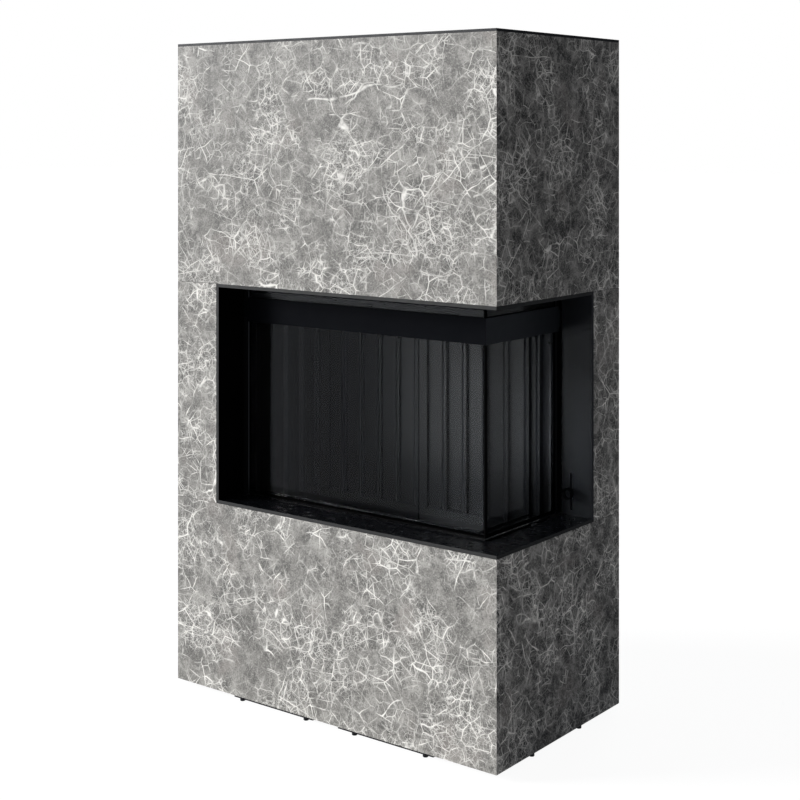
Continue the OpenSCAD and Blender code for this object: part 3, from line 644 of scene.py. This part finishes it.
@dataclass(frozen=True)
class Finishes:
    """Every finish of the fireplace, made once."""

    made: dict[str, Material]

    @classmethod
    def mix(cls) -> "Finishes":
        """Makes all the materials.

        Returns:
            The set of finishes.
        """
        slabs = {
            "upper_front": ((0.0, 0.0, 0.0), 1.20),
            "upper_side": ((3.1, 0.4, 1.7), 0.82),
            "left_pier": ((1.9, 2.2, 0.6), 1.32),
            "rear_pier": ((5.3, 1.1, 2.9), 1.02),
            "lower_front": ((2.6, 3.7, 4.2), 1.36),
            "lower_side": ((6.2, 2.5, 0.9), 1.06),
        }
        # Side slabs not in light take darker ground colours and lower shares, which is painted
        # shade, and brighter veins.
        in_light = ("upper_front", "left_pier", "lower_front")
        painted_shade = {
            "dark": (0.0175, 0.0170, 0.0163),
            "clast": (0.104, 0.101, 0.0955),
            "pale": (0.330, 0.320, 0.302),
            "vein": (0.93, 0.905, 0.855),
            "gloss": 0.15,
        }
        kinds = [
            StoneFinish("stone_" + key, offset, share, **({} if key in in_light else painted_shade))
            for key, (offset, share) in slabs.items()
        ]
        soot, bloom = (0.0040, 0.0046, 0.0058), (0.0070, 0.0080, 0.0098)
        side_soot, side_bloom = (0.0042, 0.0048, 0.0060), (0.0070, 0.0078, 0.0094)
        hearth_soot, hearth_bloom = (0.006, 0.0065, 0.0075), (0.012, 0.013, 0.0145)
        front_ends, side_ends = (-1013.0, -120.5), (126.0, 487.0)
        # Tint of the side pane, darker than the front pane's.
        side_tint = (0.64, 0.66, 0.67)
        kinds += [
            PaintFinish("jamb_black", (0.0070, 0.0075, 0.0090), 0.31, 0.27, peel=0.0),
            # Darker copy of jamb_black for the left jamb, which faces away from the light: painted
            # shade.
            PaintFinish("left_jamb_black", (0.0012, 0.0012, 0.0013), 0.40, 0.05, peel=0.0),
            PaintFinish("sill_black", (0.0034, 0.0038, 0.0048), 0.26, 0.06, peel=0.0),
            PaintFinish("hood_black", (0.0030, 0.0034, 0.0045), 0.34, 0.02, 0.0, 0.0),
            # Lighter, glossier copy of the hood paint for the hood's right-facing face: painted
            # light.
            PaintFinish("hood_side_black", (0.0150, 0.0172, 0.0205), 0.40, 0.25, 0.0, 0.0),
            PaintFinish("door_black", (0.0040, 0.0044, 0.0056), 0.30, 0.24, peel=0.0),
            # Darker copy of door_black for the left stile: painted shade.
            PaintFinish("stile_black", (0.0016, 0.0017, 0.0020), 0.34, 0.12, peel=0.0),
            # Lighter grey for the front- and right-facing edge faces of the plates: painted
            # highlight.
            PaintFinish("plate_edge", (0.0240, 0.0240, 0.0232), 0.60, 0.2, peel=0.0),
            PaintFinish("cover_black", (0.008, 0.008, 0.009), 0.50, 0.2, peel=0.0001),
            PaintFinish("frame_primer", (0.085, 0.088, 0.092), 0.60, 0.4, 0.25, 0.0001, 0.002),
            PaintFinish("edge_plate_grey", (0.024, 0.025, 0.030), 0.60, 0.4),
            PaintFinish("seal_black", (0.0012, 0.0012, 0.0013), 0.75, 0.05, 0.2, 0.0001, 0.0006),
            PaintFinish("rail_black", (0.0014, 0.0014, 0.0015), 0.60, 0.10),
            PaintFinish("screw_black", (0.012, 0.012, 0.013), 0.38),
            PaintFinish("coil_black", (0.0006, 0.0006, 0.0007), 0.22, 0.04, peel=0.0),
            SheetMetalFinish(
                "zinc_sheet", (0.36, 0.365, 0.37), (0.28, 0.285, 0.29), 0.45, 0.009, 0.6
            ),
            SheetMetalFinish("stove_steel", (0.20, 0.20, 0.21), (0.10, 0.10, 0.105), 0.55, 0.03),
            SheetMetalFinish("weight_steel", (0.25, 0.24, 0.235), (0.14, 0.13, 0.125), 0.58, 0.02),
            SheetMetalFinish("pulley_alloy", (0.62, 0.62, 0.63), (0.48, 0.48, 0.49), 0.34, 0.006),
            FireclayFinish("lining_fireclay", soot, bloom, 0.34),
            FireclayFinish("side_fireclay", side_soot, side_bloom, 0.50, 0.17),
            FireclayFinish("hearth_fireclay", hearth_soot, hearth_bloom, 0.5),
            PaneFinish("front_pane", X_AXIS, front_ends),
            # The side pane darkens towards its near end and its foot: painted shade.
            PaneFinish("side_pane", Y_AXIS, side_ends, side_tint, near=0.68, low=0.35),
            RopeFinish("wire_rope"),
        ]
        return cls({kind.name: kind.make() for kind in kinds})

    def dress(self, finish: str, *nodes: str) -> None:
        """Gives CAD nodes a finish through their material slots.

        Args:
            finish: name of the finish.
            nodes: names of the nodes.
        """
        for node in nodes:
            for slot in frame["nodes"][node].material_slots:
                slot.material = self.made[finish]
            log.info("dressed %s in %s", node, finish)


# ---- Making pieces -----------------------------------------------------------


def new_piece(name: str, mesh: bpy.types.Mesh) -> bpy.types.Object:
    """Links an object of a mesh to the scene, at the origin.

    Args:
        name: name of the object.
        mesh: its mesh, with its place in it.

    Returns:
        The new object.
    """
    piece = bpy.data.objects.new(name, mesh)
    bpy.context.scene.collection.objects.link(piece)
    return piece


def bevelled(
    node: str,
    finish: Material,
    radius: float,
    body: Body = Body.SURROUND,
    clear: float = 0.0,
    facing: dict[Facing, Material] | None = None,
) -> bpy.types.Object:
    """Copies a CAD node, breaks its edges and lets the copy stand for it.

    Args:
        node: CAD node to copy.
        finish: material of the piece.
        radius: width of the broken edge in metres.
        body: body that it rides on.
        clear: gap in metres that it keeps from the panes in front of it and beside it.
        facing: materials of the faces that look one way, where they differ.

    Returns:
        The new piece.
    """
    mesh = frame["nodes"][node].data.copy()
    shape = bmesh.new()
    shape.from_mesh(mesh)
    bmesh.ops.translate(shape, verts=shape.verts, vec=(-clear, clear, 0.0))
    bmesh.ops.remove_doubles(shape, verts=shape.verts, dist=MERGED)
    bmesh.ops.dissolve_limit(shape, angle_limit=FLAT, verts=shape.verts, edges=shape.edges)
    shape.to_mesh(mesh)
    shape.free()
    mesh.materials.clear()
    ways = facing or {}
    for material in (finish, *ways.values()):
        mesh.materials.append(material)
    for face in mesh.polygons:
        looks = [face.normal.dot(Vector(way.value)) > SQUARE_ON for way in ways]
        face.material_index = looks.index(True) + 1 if any(looks) else 0
    piece = new_piece(node + "_finished", mesh)
    edge = piece.modifiers.new("broken_edge", "BEVEL")
    edge.width = radius
    edge.segments = 2
    edge.limit_method = "ANGLE"
    edge.angle_limit = SHARP
    edge.use_clamp_overlap = True
    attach(piece, body.value)
    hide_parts(node)
    log.info("%s has edges broken by %.1f mm", node, radius / MM)
    return piece


class Tree(NodeSheet):
    """Geometry node tree that ends in Realize Instances and Set Material."""

    def __init__(self, name: str, finish: Material) -> None:
        """Starts a tree.

        Args:
            name: name of the tree.
            finish: material of what it makes.
        """
        self.tree = bpy.data.node_groups.new(name, "GeometryNodeTree")
        for way in ("INPUT", "OUTPUT"):
            self.tree.interface.new_socket(
                "Geometry", in_out=way, socket_type="NodeSocketGeometry"
            )
        self.start = self.add("NodeGroupInput")
        self.last = self.add("NodeGroupOutput")
        self.finish = finish
        self.ids: dict[str, str] = {}

    def size(self, name: str, kind: str = "Float") -> Socket:
        """Adds a named input.

        Args:
            name: name of the input.
            kind: socket kind, such as Float or Int.

        Returns:
            The socket that gives it inside the tree.
        """
        kind = "NodeSocket" + kind
        made = self.tree.interface.new_socket(name, in_out="INPUT", socket_type=kind)
        self.ids[name] = made.identifier
        return self.start.outputs[name]

    def close(self, geometry: Socket) -> None:
        """Ends the tree.

        Args:
            geometry: what the tree makes.
        """
        real = self.add("GeometryNodeRealizeInstances", {"Geometry": geometry}).outputs[0]
        inputs = {"Geometry": real, "Material": self.finish}
        self.feed(self.last.inputs[0], self.add("GeometryNodeSetMaterial", inputs).outputs[0])

    def grow(self, name: str, seed_mesh: bpy.types.Mesh, **sizes: float) -> bpy.types.Object:
        """Runs the tree on a mesh and keeps the result as a plain mesh.

        Args:
            name: name of the piece.
            seed_mesh: points and edges that the tree starts from.
            sizes: values of the named inputs, with _ for a space.

        Returns:
            The new piece, with no modifier on it.
        """
        start = new_piece(name + "_path", seed_mesh)
        run = start.modifiers.new("grow", "NODES")
        run.node_group = self.tree
        for key, value in sizes.items():
            run[self.ids[key.replace("_", " ")]] = value
        graph = bpy.context.evaluated_depsgraph_get()
        grown = bpy.data.meshes.new_from_object(start.evaluated_get(graph))
        grown.name = name
        start.modifiers.remove(run)
        bpy.data.objects.remove(start)
        piece = new_piece(name, grown)
        for face in grown.polygons:
            face.use_smooth = True
        log.info("%s grown with %d faces", name, len(grown.polygons))
        return piece


def path_mesh(name: str, runs: list[list[Vector]]) -> bpy.types.Mesh:
    """Makes a mesh of open chains of edges.

    Args:
        name: name of the mesh.
        runs: points of each chain.

    Returns:
        The new mesh.
    """
    points, edges = [], []
    for run in runs:
        first = len(points)
        points += [tuple(p) for p in run]
        edges += [(first + i, first + i + 1) for i in range(len(run) - 1)]
    mesh = bpy.data.meshes.new(name)
    mesh.from_pydata(points, edges, [])
    return mesh


def wire_tree(name: str, finish: Material) -> Tree:
    """Builds a tree that sweeps a round wire along each chain of edges.

    Args:
        name: name of the tree.
        finish: material of the wire.

    Returns:
        The tree, with the inputs Wire radius and Sides.
    """
    tree = Tree(name, finish)
    radius = tree.size("Wire radius")
    sides = tree.size("Sides", "Int")
    curve = tree.add("GeometryNodeMeshToCurve", {"Mesh": tree.start.outputs["Geometry"]})
    ring = tree.add("GeometryNodeCurvePrimitiveCircle", {"Resolution": sides, "Radius": radius})
    ends = {"Curve": curve.outputs[0], "Profile Curve": ring.outputs[0], "Fill Caps": True}
    tree.close(tree.add("GeometryNodeCurveToMesh", ends).outputs[0])
    return tree


# ---- Sub-assemblies ----------------------------------------------------------


@dataclass
class StoneCladding:
    """Six stone slabs, the cap plate and the sheet covers of the back and left side."""

    finishes: Finishes
    slabs: tuple[str, ...] = (
        "upper_front",
        "upper_side",
        "lower_front",
        "lower_side",
        "left_pier",
        "rear_pier",
    )

    def dress(self) -> None:
        """Gives the slabs and covers their finishes."""
        for place in self.slabs:
            self.finishes.dress("stone_" + place, place + "_panel")
        self.finishes.dress("cover_black", "top_cap")
        self.finishes.dress("zinc_sheet", "rear_cover", "left_cover")


@dataclass
class SteelFrame:
    """Welded tube frame with its skid plates, feet and the legs of the firebox."""

    finishes: Finishes
    tubes: tuple[str, ...] = (
        "base_rails",
        "frame_posts",
        "corner_posts",
        "opening_rails",
        "top_rails",
        "insert_legs",
    )

    def dress(self) -> None:
        """Gives the tubes a primer and the feet their black zinc."""
        self.finishes.dress("frame_primer", *self.tubes)
        self.finishes.dress("cover_black", "skid_plates")
        self.finishes.dress("screw_black", "levelling_feet")


@dataclass
class OpeningLining:
    """Mitred steel plates round the opening, and the hood band above the door.

    The edges are the widths of the broken ones, in metres.
    """

    finishes: Finishes
    edge: float = 0.0007
    cover_edge: float = 0.0003

    def build(self) -> None:
        """Stands bevelled plates over the plain ones."""
        made = self.finishes.made
        # plate_edge lightens the plates' front- and right-facing faces: painted highlight.
        front = {Facing.FRONT: made["plate_edge"]}
        around = {**front, Facing.RIGHT: made["plate_edge"]}
        # The hood's right-facing face takes the lighter copy of its paint: painted light.
        hood_side = {Facing.RIGHT: made["hood_side_black"]}
        # The left jamb takes the darker copy of the jamb paint: painted shade.
        bevelled("left_jamb_plate", made["left_jamb_black"], self.edge, facing=front)
        bevelled("rear_jamb_plate", made["jamb_black"], self.edge)
        for node in ("sill_plate", "soffit_plate"):
            bevelled(node, made["sill_black"], self.edge, facing=around)
        bevelled("sill_cover", made["sill_black"], self.cover_edge)
        bevelled("hood_band", made["hood_black"], self.edge, facing=hood_side)


@dataclass
class Firebox:
    """Hearth, fluted linings, walls, baffle, dome and flue.

    The edges are the widths of the broken ones, in metres.
    """

    finishes: Finishes
    back_edge: float = 0.0009
    side_edge: float = 0.0008
    hearth_edge: float = 0.0015
    plate_edge: float = 0.0005

    def build(self) -> None:
        """Stands bevelled linings over the plain ones and dresses the shell."""
        made = self.finishes.made
        bevelled("left_lining", made["side_fireclay"], self.side_edge)
        for node in ("back_lining_left", "back_lining_right"):
            bevelled(node, made["lining_fireclay"], self.back_edge)
        bevelled("hearth_slabs", made["hearth_fireclay"], self.hearth_edge)
        bevelled("hearth_pan", made["sill_black"], self.plate_edge)
        bevelled("lining_edge_plate", made["edge_plate_grey"], self.plate_edge)
        shell = ("firebox_back_wall", "firebox_roof", "smoke_dome", "flue_pipe")
        self.finishes.dress("rail_black", "edge_plate_screws", "firebox_left_wall")
        self.finishes.dress("stove_steel", *shell)
        self.finishes.dress("hearth_fireclay", "baffle_plate")


@dataclass
class LiftDoor:
    """Two panes, their seal, top rail and stiles.

    The edge is the width of the broken ones, and clear the bars' gap to the panes, in metres.
    """

    finishes: Finishes
    edge: float = 0.0004
    clear: float = 0.0002

    def build(self) -> None:
        """Dresses the panes and stands bevelled stiles over the plain ones."""
        self.finishes.dress("front_pane", "front_glass")
        self.finishes.dress("side_pane", "side_glass")
        self.finishes.dress("seal_black", "glass_seal")
        made = self.finishes.made
        bars = (
            # The top rail's right-facing face takes the darker rail_black: painted shade.
            ("door_top_rail", made["door_black"], {Facing.RIGHT: made["rail_black"]}),
            # The left stile takes the darker copy of the door paint: painted shade.
            ("left_stile", made["stile_black"], None),
            ("rear_stile", made["door_black"], {Facing.FRONT: made["edge_plate_grey"]}),
        )
        for node, finish, facing in bars:
            bevelled(node, finish, self.edge, Body.DOOR, self.clear, facing)


@dataclass
class LiftingGear:
    """Guide rails, channels, counterweights, pulleys and wire ropes.

    Sizes are in millimetres, and places in the plan are x and y of the corner frame. The hole
    is the depth of a weight's bore for its rope, and a rope's shares are of its radius.
    """

    finishes: Finishes
    travel: float = 540.0
    pulley_z: float = 1845.0
    door_top: float = 1225.0
    weight_top: float = 1440.0
    hole: float = 150.0
    door_places: tuple[tuple[float, float], ...] = ((-1000, 130), (-130, 482))
    left_weight_place: tuple[float, float] = (-1130, 130)
    rear_weight_place: tuple[float, float] = (-130, 612)
    rope_r: float = 2.5
    lead_share: float = 0.93
    wind_share: float = 0.66
    strand_share: float = 0.36
    strand_sides: int = 6
    strands: int = 6
    lay: float = 42.0
    steps_per_lay: int = 10

    def strand_runs(self, x: float, y: float, foot: float, radius: float) -> list[list[Vector]]:
        """Winds the centre lines of the strands of an upright rope.

        Args:
            x: place of the rope along the front.
            y: place of the rope in depth.
            foot: height of its lower end. The upper end is level with the pulleys' axles.
            radius: outer radius of the rope.

        Returns:
            One chain of points for each strand.
        """
        wind = radius * self.wind_share
        length = self.pulley_z - foot
        steps = max(2, round(length / self.lay * self.steps_per_lay))
        runs = []
        for strand in range(self.strands):
            run = []
            for i in range(steps + 1):
                z = foot + length * i / steps
                a = math.tau * ((z - self.pulley_z) / self.lay + strand / self.strands)
                run.append(at_corner(x + wind * math.cos(a), y + wind * math.sin(a), z))
            runs.append(run)
        return runs

    def rope(
        self,
        name: str,
        tree: Tree,
        places: tuple[tuple[float, float], ...],
        foot: float,
        radius: float,
    ) -> bpy.types.Object:
        """Makes one piece with an upright rope at each place.

        Args:
            name: name of the piece.
            tree: tree that sweeps the strands.
            places: places of the ropes.
            foot: height of their lower ends.
            radius: outer radius of a rope.

        Returns:
            The new piece.
        """
        runs = []
        for x, y in places:
            runs += self.strand_runs(x, y, foot, radius)
        wire = radius * self.strand_share * MM
        return tree.grow(name, path_mesh(name, runs), Wire_radius=wire, Sides=self.strand_sides)

    def door_ropes(self, tree: Tree) -> None:
        """Makes the door's two ropes.

        Args:
            tree: tree that sweeps the strands.
        """
        door = self.rope("door_ropes", tree, self.door_places, self.door_top, self.rope_r)
        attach(door, Body.SURROUND.value)
        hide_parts("door_cables")
        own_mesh(door)

    def weight_ropes(self, tree: Tree, side: str, body: Body, place: tuple[float, float]) -> None:
        """Makes a counterweight's rope and the thinner fixed run that it slides along.

        Args:
            tree: tree that sweeps the strands.
            side: side of the fireplace, as in the names of its nodes.
            body: the counterweight.
            place: place of the rope.
        """
        drop = self.rope(side + "_rope_drop", tree, (place,), self.weight_top, self.rope_r)
        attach(drop, body.value)
        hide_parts(side + "_weight_cable")
        foot, radius = self.weight_top - self.hole, self.rope_r * self.lead_share
        lead = self.rope(side + "_rope_lead", tree, (place,), foot, radius)
        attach(lead, Body.SURROUND.value)

    def build(self) -> None:
        """Makes the ropes and dresses the rest."""
        f = self.finishes
        f.dress("rail_black", "guide_rails")
        f.dress("zinc_sheet", "weight_channels", "pulley_brackets")
        f.dress("weight_steel", "left_counterweight", "rear_counterweight")
        f.dress("pulley_alloy", "left_pulley", "rear_pulley")
        f.dress("wire_rope", "cable_bends")
        tree = wire_tree("rope_strands", f.made["wire_rope"])
        self.door_ropes(tree)
        self.weight_ropes(tree, "left", Body.LEFT_WEIGHT, self.left_weight_place)
        self.weight_ropes(tree, "rear", Body.REAR_WEIGHT, self.rear_weight_place)


@dataclass
class AirControl:
    """Air box, duct, register, gate, lever and the coil knob, with sizes in millimetres.

    The wire of the knob leaves the lever's end straight, opens into a ring within its
    opening turns, and winds on at one pitch.
    """

    finishes: Finishes
    slot_x: float = -70.5
    rod_end: float = 498.0
    lever_z: float = 655.0
    outer_r: float = 17.5
    wire_d: float = 4.5
    lead: float = 4.5
    opening_turns: float = 0.5
    opening_rise: float = 4.0
    turns: float = 2.25
    pitch: float = 9.0
    steps_per_turn: int = 40
    wire_sides: int = 16

    def coil_point(self, t: float) -> Vector:
        """Finds a point of the wire's centre line.

        Args:
            t: turns from its start.

        Returns:
            The point.
        """
        mean = self.outer_r - self.wire_d / 2
        a = math.radians(360.0 * t - 90.0)
        if t < self.opening_turns:
            r = mean * (1.0 - math.cos(math.pi * t / self.opening_turns)) / 2
            rise = self.lead + self.opening_rise * t / self.opening_turns
        else:
            r = mean
            rise = self.lead + self.opening_rise + self.pitch * (t - self.opening_turns)
        x, z = self.slot_x + r * math.cos(a), self.lever_z + r * math.sin(a)
        return at_corner(x, self.rod_end - rise, z)

    def build(self) -> None:
        """Winds the knob and dresses the rest."""
        f = self.finishes
        f.dress("zinc_sheet", "air_box", "air_spigot", "air_duct", "air_register")
        f.dress("pulley_alloy", "air_gate")
        f.dress("coil_black", "air_lever")
        whole = self.opening_turns + self.turns
        count = round(whole * self.steps_per_turn)
        curl = [self.coil_point(whole * i / count) for i in range(count + 1)]
        away = (curl[-1] - curl[-2]).normalized() * self.wire_d * MM
        start = at_corner(self.slot_x, self.rod_end, self.lever_z)
        path = path_mesh("coil", [[start, *curl, curl[-1] + away]])
        tree = wire_tree("coil_wire", f.made["coil_black"])
        wire = self.wire_d / 2 * MM
        knob = tree.grow("coil_knob_wire", path, Wire_radius=wire, Sides=self.wire_sides)
        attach(knob, Body.AIR.value)
        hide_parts("coil_knob")
        log.info("coil knob wound in %.2f turns", whole)


# ---- Setting -----------------------------------------------------------------


@dataclass
class Setting:
    """Camera, floor, world and lamps, with places in metres and angles in degrees.

    Azimuth 0 is in front of the fireplace and 90 on its left. What mirrors see is bright on
    one side, as in the photograph, and so is the floor for them.
    """

    camera_at: Colour = (2.899, -3.737, 1.731)
    camera_turn: float = 37.56
    lens: float = 68.96
    sensor: float = 36.0
    shift: float = -0.331
    sees_to: float = 200.0
    sun_azimuth: float = 53.0
    sun_elevation: float = 17.0
    sun_strength: float = 4.75
    sun_angle: float = 20.0
    sun_far: float = 6.0
    back_azimuth: float = 160.0
    back_strength: float = 0.9
    fill: Colour = (0.171, 0.177, 0.190)
    mirrored: Colour = (0.90, 0.98, 1.12)
    mirrored_dark: Colour = (0.135, 0.147, 0.168)
    mirror_azimuth: float = 42.0
    sky_span: tuple[float, float] = (-0.3, 0.7)
    floor_span: tuple[float, float] = (0.2, 1.6)
    floor_half: float = 60.0
    floor_grey: Colour = (0.12, 0.12, 0.12)
    floor_dull: Colour = (0.58, 0.58, 0.58)
    floor_glow: float = 0.94
    # Spans off the centre, in metres, over which the painted shade under the fireplace fades out.
    painted_shade_x: tuple[float, float] = (0.50, 0.56)
    painted_shade_y: tuple[float, float] = (0.23, 0.29)

    def camera(self) -> None:
        """Stands the camera at the photograph's place."""
        lens = bpy.data.cameras.new("camera")
        lens.lens = self.lens
        lens.sensor_width = self.sensor
        lens.shift_y = self.shift
        lens.clip_end = self.sees_to
        stand = bpy.data.objects.new("camera", lens)
        stand.location = self.camera_at
        stand.rotation_euler = (math.radians(90.0), 0.0, math.radians(self.camera_turn))
        bpy.context.scene.collection.objects.link(stand)
        bpy.context.scene.camera = stand

    def sun(self, name: str, azimuth: float, strength: float) -> None:
        """Adds a soft low sun.

        Args:
            name: name of the lamp.
            azimuth: azimuth that it shines from.
            strength: its strength.
        """
        light = bpy.data.lights.new(name, "SUN")
        light.energy = strength
        light.angle = math.radians(self.sun_angle)
        lamp = bpy.data.objects.new(name, light)
        a, e = math.radians(azimuth), math.radians(self.sun_elevation)
        towards = Vector((-math.sin(a) * math.cos(e), -math.cos(a) * math.cos(e), math.sin(e)))
        lamp.rotation_euler = towards.to_track_quat("Z", "Y").to_euler()
        lamp.location = towards * self.sun_far
        bpy.context.scene.collection.objects.link(lamp)

    def lamps(self) -> None:
        """A sun from the front left, as the photograph shows, and a weak one from behind."""
        self.sun("key", self.sun_azimuth, self.sun_strength)
        self.sun("back", self.back_azimuth, self.back_strength)

    def mirror(self, s: Sheet, span: tuple[float, float]) -> Socket:
        """Colours what mirrors see.

        Args:
            s: sheet to draw on.
            span: distances towards the bright side between which it goes from dark to bright.

        Returns:
            The colour.
        """
        a = math.radians(self.mirror_azimuth)
        share = s.ramp(s.along((-math.sin(a), -math.cos(a), 0.0)), *span)
        return s.blend(share, self.mirrored_dark, self.mirrored)

    def world(self) -> None:
        """White to the eye and through glass, bright on one side in mirrors, and a dim fill."""
        s = Sheet("studio", sky=True)
        glossy = s.add("LightPath").outputs["Is Glossy Ray"]
        unseen = s.blend(glossy, self.fill, self.mirror(s, self.sky_span))
        back = s.add("Background", {"Color": s.blend(s.eye(), unseen, WHITE)})
        s.close(back.outputs[0])
        bpy.context.scene.world = s.material

    def floor_paint(self) -> Material:
        """Paints the floor.

        Returns:
            Material that glows pale, keeps a soft shadow, has painted shade well under the
            fireplace, and glows bright on one side for glossy rays as painted light.
        """
        s = Sheet("floor_pale")
        # Painted shade: the glow fades out well under the fireplace.
        across = s.ramp(s.off(X_AXIS, 0.0), *self.painted_shade_x)
        painted_shade = s.ramp(s.off(Y_AXIS, 0.0), *self.painted_shade_y)
        strength = s.ramp(s.math("MAXIMUM", across, painted_shade), 0.0, 1.0, 0.0, self.floor_glow)
        glow = s.add("Emission", {"Strength": strength}).outputs[0]
        seen = s.add("AddShader", {0: s.diffuse(self.floor_grey), 1: glow}).outputs[0]
        # Painted light: for glossy rays the floor glows, bright on one side.
        mirror = s.add("Emission", {"Color": self.mirror(s, self.floor_span)}).outputs[0]
        glossy = s.add("LightPath").outputs["Is Glossy Ray"]
        other = s.either(glossy, s.diffuse(self.floor_dull), mirror)
        s.close(s.either(s.eye(), other, seen))
        return s.material

    def floor(self) -> None:
        """Lays the floor."""
        far = self.floor_half
        corners = [(-far, -far, 0), (far, -far, 0), (far, far, 0), (-far, far, 0)]
        mesh = bpy.data.meshes.new("floor")
        mesh.from_pydata(corners, [], [(0, 1, 2, 3)])
        mesh.materials.append(self.floor_paint())
        new_piece("floor", mesh)

    def build(self) -> None:
        """Makes the whole setting."""
        self.camera()
        self.lamps()
        self.world()
        self.floor()
        bpy.context.scene.view_settings.view_transform = "Standard"


def main() -> None:
    """Builds the setting, the finishes and each sub-assembly in turn."""
    logging.basicConfig(level=logging.INFO, format="%(name)s: %(message)s")
    Setting().build()
    finishes = Finishes.mix()
    StoneCladding(finishes).dress()
    SteelFrame(finishes).dress()
    OpeningLining(finishes).build()
    Firebox(finishes).build()
    LiftDoor(finishes).build()
    LiftingGear(finishes).build()
    AirControl(finishes).build()
    bpy.context.view_layer.update()


if __name__ == "__main__":
    main()
